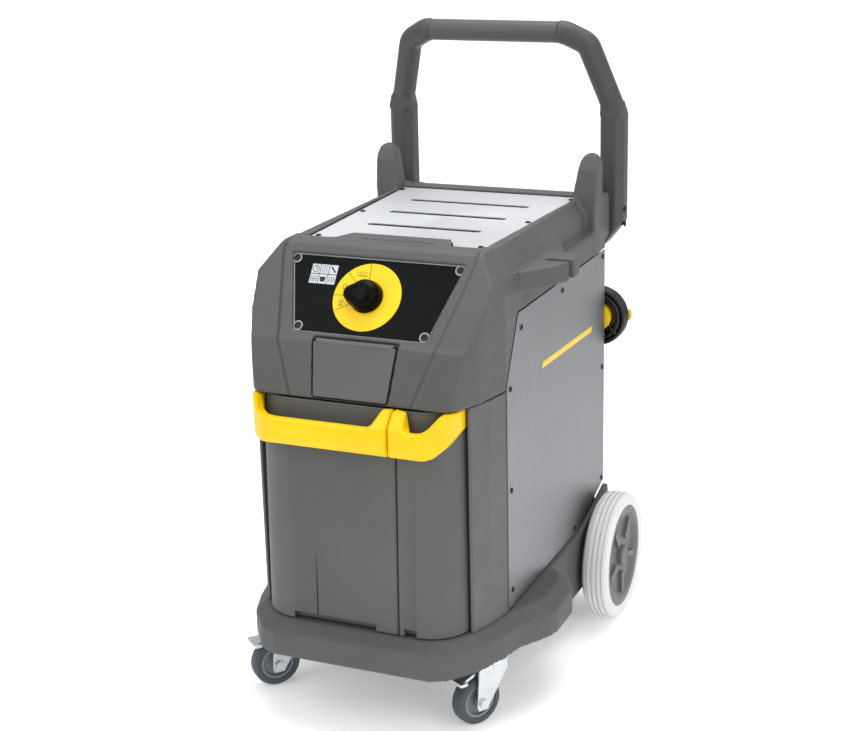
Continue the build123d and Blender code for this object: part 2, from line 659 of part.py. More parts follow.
def waste_tank_handle():
    """Wide yellow grip of the waste tank, wrapping round its left corner."""
    front_view = [
        (-157.8, 501), (-157.8, 464), (-150, 449), (-138, 441), (-118, 439), (68.4, 439), (68.4, 501),
        (54, 501), (44, 482), (38, 479), (-118, 479), (-132, 482), (-141, 501),
    ]
    plan = [
        (-157.8, -232), (-157.8, -262), (-153, -283), (-143, -300), (-126, -313), (-106, -319), (62, -319),
        (68.4, -314), (68.4, -282), (44, -290), (36, -305), (-104, -305), (-119, -300), (-132, -289), (-140, -275),
        (-143, -258), (-143, -232),
    ]
    return tank_grip(front_view, plan) - tank_clearance(-TANK_HALF, TANK_SPLIT_X - TANK_GAP / 2, TANK_ROUND, 0)


def fresh_tank_handle():
    """Short yellow grip of the fresh-water tank."""
    front_view = [
        (69.6, 439), (69.6, 501), (89, 501), (93, 482), (100, 478), (116, 478), (126, 484), (140, 501),
        (157.8, 501), (157.8, 472), (146, 454), (133, 443), (116, 439),
    ]
    plan = [
        (69.6, -282), (69.6, -314), (76, -319), (106, -319), (126, -313), (143, -300), (153, -283),
        (157.8, -262), (157.8, -232), (143, -232), (143, -258), (140, -275), (132, -289), (119, -300),
        (107, -305), (100, -305), (92, -290),
    ]
    return tank_grip(front_view, plan) - tank_clearance(TANK_SPLIT_X + TANK_GAP / 2, TANK_HALF, 0, TANK_ROUND)


def tank_clearance(x0, x1, left_round, right_round):
    """Volume of a tank, so that its grip sits on its skin."""
    return tank_mass(x0, x1, left_round, right_round, 0, TANK_BOTTOM_Z, TANK_TOP_Z + 0.001)


# ---------------------------------------------------------------- machinery inside
def equipment_shelf():
    """Folded steel shelf that carries the boiler and suction unit."""
    floor = block(-178, 178, -108, 268, DECK_Z + 0.4, DECK_Z + 2.4)
    lip = block(-178, 178, 266, 268, DECK_Z + 2.4, DECK_Z + 30)
    return floor + lip


def boiler():
    """Upright stainless pressure vessel with domed ends and a base ring."""
    shell = Pos(-90, 110, 330) * Cylinder(62, 250)
    shell = fillet(shell.edges().filter_by(GeomType.CIRCLE), 26)
    hollow = Pos(-90, 110, 330) * Cylinder(59.5, 245)
    hollow = fillet(hollow.edges().filter_by(GeomType.CIRCLE), 24)
    base = Pos(-90, 110, 190) * (Cylinder(48, 44) - Cylinder(45, 46))
    port = rod((-90, 110, 450), (-90, 110, 478), 9) - rod((-90, 110, 440), (-90, 110, 480), 6)
    flange_hole = rod((-90, 40, 262), (-90, 60, 262), 19)
    return shell - hollow + (base - shell) + port - rod((-90, 110, 448), (-90, 110, 470), 6) - flange_hole


def boiler_jacket():
    """Insulating sleeve round the boiler."""
    sleeve = Pos(-90, 110, 336) * (Cylinder(76, 184) - Cylinder(62.6, 190))
    return sleeve - block(-112, -68, 20, 60, 230, 300)


def heating_element():
    """Looped immersion heater on a bolted flange."""
    flange = rod((-90, 38, 262), (-90, 47.6, 262), 22)
    path = FilletPolyline((-100, 47, 262), (-100, 150, 262), (-80, 150, 262), (-80, 47, 262), radius=9)
    loop = sweep(Plane(origin=(-100, 47, 262), z_dir=(0, 1, 0)) * Circle(4), path=path)
    terminals = rod((-100, 26, 262), (-100, 38, 262), 3) + rod((-80, 26, 262), (-80, 38, 262), 3)
    return flange + loop + terminals


def steam_valve():
    """Solenoid valve on the boiler outlet with its brass body and coil."""
    body = block(-104, -76, 96, 124, 478.2, 500)
    coil = Pos(-90, 110, 517) * Box(36, 40, 34)
    coil = fillet(coil.edges().filter_by(Axis.Z), 4)
    cap = Pos(-90, 110, 537) * Cylinder(9, 7)
    spout = rod((-90, 97, 489), (-90, 72, 489), 7)
    return body + coil + cap + spout


def water_pump():
    """Vibrating pump that feeds the boiler, with inlet and outlet spigots."""
    coil = block(40, 96, -90, -40, 170, 236)
    coil = fillet(coil.edges().filter_by(Axis.Z), 6)
    barrel = rod((68, -65, 236), (68, -65, 268), 14)
    nozzle = rod((68, -65, 268), (68, -65, 284), 6)
    return coil + barrel + nozzle


def suction_turbine():
    """Two-stage suction motor: fan housing, motor barrel and end frame."""
    fan = Pos(85, 120, 205) * Cylinder(74, 60)
    fan = fillet(fan.edges().filter_by(GeomType.CIRCLE), 6)
    motor = Pos(85, 120, 275) * Cylinder(48, 82)
    frame = Pos(85, 120, 325) * Cylinder(54, 20)
    spigot = rod((85, 120, 205), (85, 20, 205), 20) - rod((85, 60, 205), (85, 19, 205), 17)
    return fan + motor + frame + spigot


def air_filter():
    """Pleated cartridge above the suction motor."""
    core = Pos(85, 120, 385) * Cylinder(44, 90)
    for i in range(24):
        angle = 15 * i
        core -= Pos(85, 120, 385) * Rot(0, 0, angle) * Pos(44, 0, 0) * Box(10, 4, 74)
    return core - Pos(85, 120, 380) * Cylinder(26, 84)


def control_board():
    """Circuit board with relay, capacitor and heat sink."""
    board = block(-60, 130, -60, -58, 400, 560)
    relays = [block(-48 + 34 * i, -22 + 34 * i, -82, -60, 420, 450) for i in range(4)]
    caps = [rod((-40 + 40 * i, -60, 500), (-40 + 40 * i, -90, 500), 11) for i in range(3)]
    sink = block(84, 120, -84, -60, 470, 545)
    for i in range(4):
        sink -= block(80, 124, -86, -66, 480 + 16 * i, 488 + 16 * i)
    for piece in relays + caps + [sink]:
        board += piece
    return board


# ---------------------------------------------------------------- push handle
LEG_SECTION = [
    (164.5, 325), (175, 315), (194.5, 313), (205, 325), (205, 349), (197, 357.9), (172.5, 357.9), (164.5, 350),
]


def handle_leg():
    """Lower right leg: a deep moulded section with a clipped foot."""
    leg = prism_z(LEG_SECTION, 590, 812)
    foot = prism_y([(159, 580), (212, 580), (212, 644), (205, 640), (177, 604), (164.5, 592), (159, 588)], 300, 365)
    return leg - foot


def handle_path():
    """Centre line of the upper part of the handle."""
    points = [(-184.5, 336, 796), (-184.5, 335, 822), (-152, 300, 928), (-118, 287, 946.4)]
    points += [(-x, y, z) for x, y, z in reversed(points)]
    return FilletPolyline(points, radius=24)


def push_handle():
    """Fixed push handle: two legs, bends and the cross bar, in one moulding."""
    path = handle_path()
    start = path @ 0
    section = Plane(origin=start, z_dir=path % 0) * Circle(18.6)
    hoop = sweep(section, path=path)
    right = handle_leg()
    low = Plane(origin=(184.7, 335.5, 811)) * Rectangle(38, 43)
    high = Plane(origin=(183, 332.5, 834)) * Rectangle(32, 32)
    shoulder = loft([low, high])
    right += shoulder
    handle = hoop + right + mirror(right, about=Plane.YZ)
    handle -= tube((-108.7, 287, 946.4), (108.7, 287, 946.4), 25, 14)
    for side in (-1, 1):
        for y, z in HANDLE_SCREWS:
            handle -= rod((side * 162, y, z), (side * 208, y, z), 3.3)
    return handle


HANDLE_SCREWS = [(332, 660), (332, 636)]


def grip_bar():
    """Cross bar between the two bends with raised end collars."""
    return tube((-108.5, 287, 946.4), (108.5, 287, 946.4), 16.8, 14.05)


def handle_screws():
    """Four screws through the feet of the handle into the housing."""
    parts = []
    for side in (-1, 1):
        for y, z in HANDLE_SCREWS:
            parts.append(screw_head((side * 205.1, y, z), (side, 0, 0), 5.2, 52).solid())
    return Compound(children=parts)


# ---------------------------------------------------------------- cord
def cord_hook(side):
    """Drum-shaped hook on the rear cover with a tip turned outwards."""
    x = side * HOOK_X
    drum = tube((x, BODY_REAR_Y + 0.2, HOOK_Z), (x, 314.5, HOOK_Z), 23.6, 19.4)
    web = block(x - 20, x + 20, BODY_REAR_Y + 0.2, 314.5, HOOK_Z - 2, HOOK_Z + 2)
    foot = rod((x, BODY_REAR_Y + 0.2, HOOK_Z), (x, BODY_REAR_Y + 3, HOOK_Z), 22)
    ends = sorted((x - side * 22, x + side * 51))
    tip = block(ends[0], ends[1], 313.9, 319.9, HOOK_Z - 9, HOOK_Z + 9)
    tip = fillet(tip.edges().filter_by(Axis.Y), 6)
    return drum + web + foot + tip


def cord_hooks():
    """The two cord hooks."""
    return Compound(children=[cord_hook(-1).solid(), cord_hook(1).solid()])


GLAND_X = -114.0
GLAND_Z = 577.0
LEAD_Y = 300.4
TAIL_Y = 308.8
TOP_RUN_Z = HOOK_Z + HANK_MIDDLE_RADIUS + 8.5
BOTTOM_RUN_Z = HOOK_Z - HANK_MIDDLE_RADIUS - 8.5
LEAD_ROUTE = [(-92, LEAD_Y, GLAND_Z), (-46, LEAD_Y, GLAND_Z), (-1.5, LEAD_Y, TOP_RUN_Z), (44, LEAD_Y, TOP_RUN_Z)]
TAIL_ROUTE = [(30, TAIL_Y, BOTTOM_RUN_Z), (-28, TAIL_Y, BOTTOM_RUN_Z), (-58, TAIL_Y, 390), (-58, TAIL_Y, 344)]


def cord_gland():
    """Strain relief on the rear cover that lets the cord leave sideways."""
    body = block(GLAND_X - 18, GLAND_X + 18, BODY_REAR_Y + 0.2, 310, GLAND_Z - 15, GLAND_Z + 15)
    body = fillet(body.edges().filter_by(lambda e: e.center().Y > 300), 4)
    nozzle = rod((GLAND_X + 18, LEAD_Y, GLAND_Z), (GLAND_X + 40, LEAD_Y, GLAND_Z), 7.5)
    return body + nozzle - rod((GLAND_X + 12, LEAD_Y, GLAND_Z), (GLAND_X + 50, LEAD_Y, GLAND_Z), CORD_DIAMETER / 2 + 0.05)


def route_radii(points):
    """Bend radius at each inner corner of a route: 0.45 of the shorter run over the tangent of half the turn."""
    points = [Vector(*p) for p in points]
    radii = []
    for before, here, after in zip(points, points[1:], points[2:]):
        run = min((here - before).length, (after - here).length)
        turn = (here - before).get_angle(after - here)
        radii.append(0.45 * run / tan(radians(turn) / 2))
    return radii


def cord_run(points, diameter):
    """Round cord along straight runs joined by tangent arcs."""
    radii = route_radii(points)
    print("cord bend radii", [round(r, 1) for r in radii])
    path = FilletPolyline(points, radius=radii)
    section = Plane(origin=path @ 0, z_dir=path % 0) * Circle(diameter / 2)
    run = sweep(section, path=path)
    print("cord run length", round(path.length, 1), "volume check", round(run.volume / (section.area * path.length), 4))
    return run


def power_cord():
    """Free ends of the cord: from the gland to the hank and from the hank to the plug."""
    lead = cord_run(LEAD_ROUTE, CORD_DIAMETER)
    tail = cord_run(TAIL_ROUTE, CORD_DIAMETER)
    return Compound(children=[lead.solid(), tail.solid()])


def cord_hank():
    """Wound cord on its hooks as one closed shape with a channel for each free end."""
    plane = Plane(origin=(0, 288.0, HOOK_Z), x_dir=(1, 0, 0), z_dir=(0, 1, 0))
    outer = HANK_MIDDLE_RADIUS + HANK_THICKNESS / 2
    inner = HANK_MIDDLE_RADIUS - HANK_THICKNESS / 2
    ring = extrude(plane * SlotOverall(2 * (HOOK_X + outer), 2 * outer), amount=HANK_THICKNESS)
    ring = fillet(ring.edges().group_by(Axis.Y)[0] + ring.edges().group_by(Axis.Y)[-1], 5)
    ring -= extrude(plane.offset(-1) * SlotOverall(2 * (HOOK_X + inner), 2 * inner), amount=HANK_THICKNESS + 2)
    ring -= cord_run(LEAD_ROUTE, CORD_DIAMETER + 0.1)
    return ring - cord_run(TAIL_ROUTE, CORD_DIAMETER + 0.1)


def power_plug():
    """Moulded two-pin plug hanging on the end of the cord."""
    centre = (TAIL_ROUTE[-1][0], TAIL_Y - 1.8)
    collar = Pos(*centre, 330) * Cylinder(9, 28)
    body = Pos(*centre, 300) * Cylinder(18, 40)
    body = fillet(body.edges().filter_by(GeomType.CIRCLE), 4)
    pins = Pos(centre[0] - 9.5, centre[1], 271) * Cylinder(2.4, 20)
    pins += Pos(centre[0] + 9.5, centre[1], 271) * Cylinder(2.4, 20)
    return body + collar + pins


def main():
    """Write every piece."""
    save(chassis_base(), "chassis_base")
    save(rear_axle(), "rear_axle")
    save(Compound(children=[axle_bracket(1).solid(), axle_bracket(-1).solid()]), "axle_brackets")
    for side, name in ((-1, "left"), (1, "right")):
        save(rear_tyre(side), f"{name}_wheel_tyre")
        save(rear_hub(side), f"{name}_wheel_hub")
        save(rear_wheel_cap(side), f"{name}_wheel_cap")
        place = caster_frame(side)
        save(place * caster_plate(), f"{name}_caster_plate")
        save(place * caster_fork(), f"{name}_caster_fork")
        save(place * caster_tyre(), f"{name}_caster_tyre")
        save(place * caster_hub(), f"{name}_caster_hub")
        save(place * caster_axle(), f"{name}_caster_axle")
        save(place * caster_brake(), f"{name}_caster_brake")
        save(side_panel(side), f"{name}_side_panel")
    save(body_frame(), "body_frame")
    save(side_panel_screws(), "side_panel_screws")
    save(rear_panel(), "rear_panel")
    save(rear_panel_screws(), "rear_panel_screws")
    save(upper_housing(), "upper_housing")
    save(top_plate(), "top_plate")
    save(top_plate_screws(), "top_plate_screws")
    save(control_panel(), "control_panel")
    save(control_panel_screws(), "control_panel_screws")
    save(dial_plate(), "dial_plate")
    save(selector_switch(), "selector_switch")
    save(selector_knob(), "selector_knob")
    save(flap_hinge_pin(), "flap_hinge_pin")
    save(socket_flap(), "socket_flap")
    save(hose_socket(), "hose_socket")
    save(waste_tank(), "waste_tank")
    save(waste_tank_handle(), "waste_tank_handle")
    save(fresh_tank(), "fresh_tank")
    save(fresh_tank_handle(), "fresh_tank_handle")
    save(equipment_shelf(), "equipment_shelf")
    save(boiler(), "boiler")
    save(boiler_jacket(), "boiler_jacket")
    save(heating_element(), "heating_element")
    save(steam_valve(), "steam_valve")
    save(water_pump(), "water_pump")
    save(suction_turbine(), "suction_turbine")
    save(air_filter(), "air_filter")
    save(control_board(), "control_board")
    save(push_handle(), "push_handle")
    save(grip_bar(), "grip_bar")
    save(handle_screws(), "handle_screws")
    save(cord_hooks(), "cord_hooks")
    save(cord_gland(), "cord_gland")
    save(power_cord(), "power_cord")
    save(cord_hank(), "cord_hank")
    save(power_plug(), "power_plug")


main()
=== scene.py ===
"""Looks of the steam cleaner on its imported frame: camera, cord, materials, small pieces and studio."""
import json
import math

import bmesh
import bpy
from mathutils import Matrix, Vector


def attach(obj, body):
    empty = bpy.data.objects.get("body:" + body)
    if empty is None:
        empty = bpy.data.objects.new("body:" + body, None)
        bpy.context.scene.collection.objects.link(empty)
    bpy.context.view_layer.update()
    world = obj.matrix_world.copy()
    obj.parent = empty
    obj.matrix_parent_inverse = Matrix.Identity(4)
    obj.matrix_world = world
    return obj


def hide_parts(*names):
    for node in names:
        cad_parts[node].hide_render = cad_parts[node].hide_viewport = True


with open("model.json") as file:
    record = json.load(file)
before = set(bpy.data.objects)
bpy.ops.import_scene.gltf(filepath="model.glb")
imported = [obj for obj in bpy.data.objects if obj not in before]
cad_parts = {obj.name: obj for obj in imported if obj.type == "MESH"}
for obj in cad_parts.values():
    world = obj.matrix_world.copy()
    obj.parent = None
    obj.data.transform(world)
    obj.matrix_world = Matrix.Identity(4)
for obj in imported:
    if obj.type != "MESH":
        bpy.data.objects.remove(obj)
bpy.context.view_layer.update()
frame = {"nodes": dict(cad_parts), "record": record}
nodes = frame["nodes"]

# ---------------------------------------------------------------- camera
CAMERA_PLACE = Vector((0.9903, -2.2886, 1.2463))
CAMERA_AZIMUTH = math.radians(23.78)
CAMERA_ELEVATION = math.radians(17.37)
CAMERA_ROLL = math.radians(-1.45)
LENS_MM = 71.74


def add_camera():
    """Camera at the place, aim and roll of the reference view."""
    forward = Vector((-math.sin(CAMERA_AZIMUTH) * math.cos(CAMERA_ELEVATION),
                      math.cos(CAMERA_AZIMUTH) * math.cos(CAMERA_ELEVATION),
                      -math.sin(CAMERA_ELEVATION)))
    level = Vector((math.cos(CAMERA_AZIMUTH), math.sin(CAMERA_AZIMUTH), 0))
    up = level.cross(forward)
    right = math.cos(CAMERA_ROLL) * level + math.sin(CAMERA_ROLL) * up
    up = right.cross(forward)
    camera = bpy.data.cameras.new("camera")
    camera.lens = LENS_MM
    camera.sensor_width = 36
    camera.clip_end = 200
    holder = bpy.data.objects.new("camera", camera)
    rotation = Matrix((right, up, -forward)).transposed().to_4x4()
    holder.matrix_world = Matrix.Translation(CAMERA_PLACE) @ rotation
    bpy.context.scene.collection.objects.link(holder)
    bpy.context.scene.camera = holder


add_camera()

# ---------------------------------------------------------------- cord
CORD_DIAMETER = 0.008
HOOK_X = 0.172
HOOK_Z = 0.487
# Distances back of the coil's three layers, and radii of its turns round a hook.
FRONT_Y, LEAD_Y, TAIL_Y = 0.2731, 0.2814, 0.2898
OUTER, MIDDLE, INNER = 0.0455, 0.0370, 0.0285
HOOK_STEP = 22.5
LEAD_ROUTE = [
    (-0.092, LEAD_Y, 0.577), (-0.046, LEAD_Y, 0.577),
    (-0.0015, LEAD_Y, HOOK_Z + OUTER), (0.044, LEAD_Y, HOOK_Z + OUTER),
]
TAIL_ROUTE = [
    (0.030, TAIL_Y, HOOK_Z - OUTER), (-0.028, TAIL_Y, HOOK_Z - OUTER),
    (-0.058, TAIL_Y, 0.390), (-0.058, TAIL_Y, 0.344),
]
# Winding order: (radius round a hook, distance back), one full turn on each but the last.
COIL_TRACKS = [
    (OUTER, LEAD_Y), (OUTER, FRONT_Y), (MIDDLE, FRONT_Y), (MIDDLE, LEAD_Y), (INNER, LEAD_Y),
    (INNER, TAIL_Y), (MIDDLE, TAIL_Y), (OUTER, TAIL_Y),
]


def hook_bend(x, y, radius, start):
    """Half a turn round one hook, clockwise from its start angle."""
    angles = [math.radians(start - HOOK_STEP * i) for i in range(9)]
    return [(x + radius * math.cos(a), y, HOOK_Z + radius * math.sin(a)) for a in angles]


def coil_turn(track, following, half):
    """One turn round both hooks from the middle of the top run, or half a turn to the bottom run."""
    radius, y = track
    points = hook_bend(HOOK_X, y, radius, 90)
    points.append((0.10, y, HOOK_Z - radius))
    if half:
        return points
    points.append((0.0, y, HOOK_Z - radius))
    points.append((-0.10, y, HOOK_Z - radius))
    points += hook_bend(-HOOK_X, y, radius, 270)
    next_radius, next_y = following
    points.append((-0.06, y, HOOK_Z + radius))
    points.append((0.06, next_y, HOOK_Z + next_radius))
    return points


def cord_route():
    """Whole centre line: lead, wound turns, tail."""
    points = list(LEAD_ROUTE)
    for i, track in enumerate(COIL_TRACKS):
        last = i == len(COIL_TRACKS) - 1
        following = track if last else COIL_TRACKS[i + 1]
        points += coil_turn(track, following, last)
    return points + TAIL_ROUTE


def add_cord():
    """Mains cord as one smooth curve from the gland to the plug."""
    curve = bpy.data.curves.new("mains_cord", "CURVE")
    curve.dimensions = "3D"
    curve.bevel_depth = 1.0
    curve.bevel_resolution = 4
    curve.resolution_u = 6
    curve.use_fill_caps = True
    spline = curve.splines.new("NURBS")
    points = cord_route()
    spline.points.add(len(points) - 1)
    for point, place in zip(spline.points, points):
        point.co = (*place, 1)
        point.radius = CORD_DIAMETER / 2
    spline.order_u = 3
    spline.use_endpoint_u = True
    cord = bpy.data.objects.new("mains_cord", curve)
    bpy.context.scene.collection.objects.link(cord)
    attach(cord, "machine")
    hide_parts("power_cord", "cord_hank")
    return cord


cord = add_cord()

# ---------------------------------------------------------------- material kit
class Kit:
    """Short way to build one node material."""

    def __init__(self, name):
        material = bpy.data.materials.new(name)
        material.use_nodes = True
        self.open(material)

    @classmethod
    def again(cls, material):
        """Kit on a material that was made before, to add to it."""
        kit = cls.__new__(cls)
        kit.open(material)
        return kit

    def open(self, material):
        """Takes hold of the node tree."""
        self.material = material
        self.tree = self.material.node_tree
        self.surface = self.tree.nodes["Principled BSDF"]
        self.place = self.node("ShaderNodeTexCoord").outputs["Object"]

    def node(self, kind, **inputs):
        """New node with constants or links on its inputs."""
        made = self.tree.nodes.new(kind)
        for key, value in inputs.items():
            self.set(made.inputs[key.replace("_", " ")], value)
        return made

    def set(self, socket, value):
        """A constant on a socket, or a link into it."""
        if isinstance(value, bpy.types.NodeSocket):
            self.tree.links.new(value, socket)
        else:
            socket.default_value = value

    def stretch(self, scale):
        """Object coordinates scaled along each axis."""
        mapping = self.node("ShaderNodeMapping", Vector=self.place)
        mapping.inputs["Scale"].default_value = scale
        return mapping.outputs["Vector"]

    def noise(self, scale, detail=2.0, rough=0.5, vector=None):
        """Noise value from 0 to 1."""
        made = self.node("ShaderNodeTexNoise", Vector=vector or self.place)
        made.inputs["Scale"].default_value = scale
        made.inputs["Detail"].default_value = detail
        made.inputs["Roughness"].default_value = rough
        return made.outputs["Fac"]

    def cells(self, scale, vector=None):
        """Cell distance value."""
        made = self.node("ShaderNodeTexVoronoi", Vector=vector or self.place)
        made.inputs["Scale"].default_value = scale
        return made.outputs["Distance"]

    def span(self, value, low, high, out_low, out_high):
        """A value moved from one range to another and held inside it."""
        made = self.node("ShaderNodeMapRange", Value=value)
        made.inputs["From Min"].default_value = low
        made.inputs["From Max"].default_value = high
        made.inputs["To Min"].default_value = out_low
        made.inputs["To Max"].default_value = out_high
        return made.outputs["Result"]

    def mix(self, factor, first, second):
        """Colour between two colours."""
        made = self.tree.nodes.new("ShaderNodeMix")
        made.data_type = "RGBA"
        self.set(made.inputs["Factor"], factor)
        self.set(made.inputs[6], first)
        self.set(made.inputs[7], second)
        return made.outputs[2]

    def math(self, operation, first, second):
        """Sum, product or other step on two values."""
        made = self.tree.nodes.new("ShaderNodeMath")
        made.operation = operation
        self.set(made.inputs[0], first)
        self.set(made.inputs[1], second)
        return made.outputs[0]

    def bump(self, height, strength, distance, normal=None):
        """Surface normal from a height."""
        made = self.node("ShaderNodeBump", Height=height)
        made.inputs["Strength"].default_value = strength
        made.inputs["Distance"].default_value = distance
        if normal is not None:
            self.set(made.inputs["Normal"], normal)
        return made.outputs["Normal"]

    def soft_edges(self, radius):
        """Normal that rounds off sharp corners."""
        made = self.tree.nodes.new("ShaderNodeBevel")
        made.samples = 4
        made.inputs["Radius"].default_value = radius
        return made.outputs["Normal"]

    def edges(self):
        """Value that rises on outer edges, for worn and catching corners."""
        shape = self.node("ShaderNodeNewGeometry").outputs["Pointiness"]
        return self.span(shape, 0.52, 0.62, 0.0, 1.0)


def rgb(red, green, blue):
    """Display colour from 0 to 255 turned into scene colour."""
    def line(value):
        value /= 255
        return value / 12.92 if value <= 0.04045 else ((value + 0.055) / 1.055) ** 2.4
    return (line(red), line(green), line(blue), 1.0)


def shade(colour, factor):
    """The same colour, lighter or darker."""
    return (*[min(1.0, channel * factor) for channel in colour[:3]], 1.0)


def moulded(name, colour, grain=2600, bump=0.10, rough=0.52, wear=0.35, soft=0.0022, shine=0.42):
    """Moulded plastic: fine spark texture, slow colour drift, lighter rubbed edges."""
    kit = Kit(name)
    kit.surface.inputs["Specular IOR Level"].default_value = shine
    drift = kit.noise(6, 3, 0.6)
    base = kit.mix(kit.span(drift, 0.35, 0.65, 0, 1), shade(colour, 0.93), shade(colour, 1.07))
    speck = kit.noise(grain, 2, 0.7)
    base = kit.mix(kit.span(speck, 0.3, 0.7, 0, 0.35), base, shade(colour, 1.25))
    base = kit.mix(kit.math("MULTIPLY", kit.edges(), wear), base, shade(colour, 1.9))
    smudge = kit.noise(28, 4, 0.65)
    kit.set(kit.surface.inputs["Base Color"], base)
    kit.set(kit.surface.inputs["Roughness"], kit.span(smudge, 0.3, 0.7, rough - 0.06, rough + 0.08))
    kit.set(kit.surface.inputs["Normal"], kit.bump(speck, bump, 0.0004, kit.soft_edges(soft)))
    return kit.material


def gloss(name, colour, rough=0.28, coat=0.25, soft=0.0015, shine=0.5):
    """Smooth glossy plastic with faint flow marks and tiny scuffs."""
    kit = Kit(name)
    kit.surface.inputs["Specular IOR Level"].default_value = shine
    flow = kit.noise(9, 3, 0.55)
    base = kit.mix(kit.span(flow, 0.3, 0.7, 0, 1), shade(colour, 0.95), shade(colour, 1.03))
    scuff = kit.noise(120, 5, 0.75, kit.stretch((1, 1, 3)))
    kit.set(kit.surface.inputs["Base Color"], base)
    kit.set(kit.surface.inputs["Roughness"], kit.span(scuff, 0.45, 0.75, rough, rough + 0.22))
    kit.surface.inputs["Coat Weight"].default_value = coat
    kit.surface.inputs["Coat Roughness"].default_value = 0.15
    ripple = kit.noise(420, 2, 0.5)
    kit.set(kit.surface.inputs["Normal"], kit.bump(ripple, 0.05, 0.0004, kit.soft_edges(soft)))
    return kit.material


def brushed(name, colour, along, rough=0.34, streak=0.22, metallic=0.85):
    """Stainless sheet with fine brush lines along one axis and soft handling marks."""
    kit = Kit(name)
    lines = [900.0, 900.0, 900.0]
    lines["xyz".index(along)] = 9.0
    brush = kit.noise(1.0, 3, 0.8, kit.stretch(lines))
    fine = [2600.0, 2600.0, 2600.0]
    fine["xyz".index(along)] = 40.0
    grain = kit.noise(1.0, 2, 0.7, kit.stretch(fine))
    cloud = kit.noise(3.5, 3, 0.5)
    streaks = kit.span(brush, 0.25, 0.75, 0, 1)
    base = kit.mix(streaks, shade(colour, 1 - streak), shade(colour, 1 + streak))
    base = kit.mix(kit.span(cloud, 0.3, 0.7, 0, 0.5), base, shade(colour, 0.86))
    kit.surface.inputs["Metallic"].default_value = metallic
    kit.set(kit.surface.inputs["Base Color"], base)
    kit.set(kit.surface.inputs["Roughness"], kit.span(grain, 0.2, 0.8, rough - 0.08, rough + 0.16))
    kit.surface.inputs["Anisotropic"].default_value = 0.4
    kit.set(kit.surface.inputs["Normal"], kit.bump(kit.math("ADD", brush, grain), 0.12, 0.0003))
    return kit.material


def metal(name, colour, rough=0.3, blotch=60, metallic=1.0):
    """Plated or bare metal with cloudy finish and dull spots."""
    kit = Kit(name)
    cloud = kit.noise(blotch, 4, 0.6)
    spots = kit.cells(380)
    base = kit.mix(kit.span(cloud, 0.3, 0.7, 0, 1), shade(colour, 0.85), shade(colour, 1.08))
    base = kit.mix(kit.span(spots, 0.0, 0.25, 0.25, 0.0), base, shade(colour, 0.6))
    kit.surface.inputs["Metallic"].default_value = metallic
    kit.set(kit.surface.inputs["Base Color"], base)
    kit.set(kit.surface.inputs["Roughness"], kit.span(cloud, 0.3, 0.7, rough - 0.08, rough + 0.12))
    kit.set(kit.surface.inputs["Normal"], kit.bump(kit.noise(900, 3, 0.6), 0.06, 0.0003))
    return kit.material


def rubber(name, colour, rough=0.62, grain=1500, dust=0.25):
    """Rubber with fine grain and dust that gathers unevenly."""
    kit = Kit(name)
    patch = kit.noise(22, 5, 0.7)
    speck = kit.noise(grain, 3, 0.7)
    base = kit.mix(kit.span(patch, 0.35, 0.7, 0, dust), colour, shade(colour, 1.5))
    base = kit.mix(kit.span(speck, 0.4, 0.8, 0, 0.3), base, shade(colour, 0.7))
    kit.set(kit.surface.inputs["Base Color"], base)
    kit.set(kit.surface.inputs["Roughness"], kit.span(patch, 0.3, 0.7, rough - 0.1, rough + 0.15))
    kit.set(kit.surface.inputs["Normal"], kit.bump(speck, 0.15, 0.0005))
    return kit.material


# Raised field on the fascia, in metres: its heights, half its width at the waist, how far back it
# reaches, and the width and rise of the crease round it.
FIELD_FOOT, FIELD_WAIST, FIELD_TOP = 0.503, 0.580, 0.680
FIELD_HALF = 0.120
FIELD_BACK = -0.166
FIELD_CREASE = 0.0048
FIELD_RISE = 0.004


def fascia_housing(name, colour):
    """Housing plastic with the low raised field round the control panel and the flap."""
    material = moulded(name, colour)
    kit = Kit.again(material)
    parts = kit.node("ShaderNodeSeparateXYZ", Vector=kit.place)
    across = kit.math("ABSOLUTE", parts.outputs["X"], 0.0)
    height = parts.outputs["Z"]
    beside_panel = kit.span(height, FIELD_WAIST, FIELD_TOP, FIELD_HALF, FIELD_HALF + 0.027)
    below_panel = kit.span(height, FIELD_FOOT, FIELD_WAIST, -0.028, 0.0)
    inside = kit.math("SUBTRACT", kit.math("ADD", beside_panel, below_panel), across)
    step = kit.span(inside, -FIELD_CREASE / 2, FIELD_CREASE / 2, 0.0, 1.0)
    front = kit.span(parts.outputs["Y"], FIELD_BACK - 0.006, FIELD_BACK, 1.0, 0.0)
    grain = kit.surface.inputs["Normal"].links[0].from_socket
    raised = kit.bump(kit.math("MULTIPLY", step, front), 1.0, FIELD_RISE, grain)
    kit.set(kit.surface.inputs["Normal"], raised)
    return material


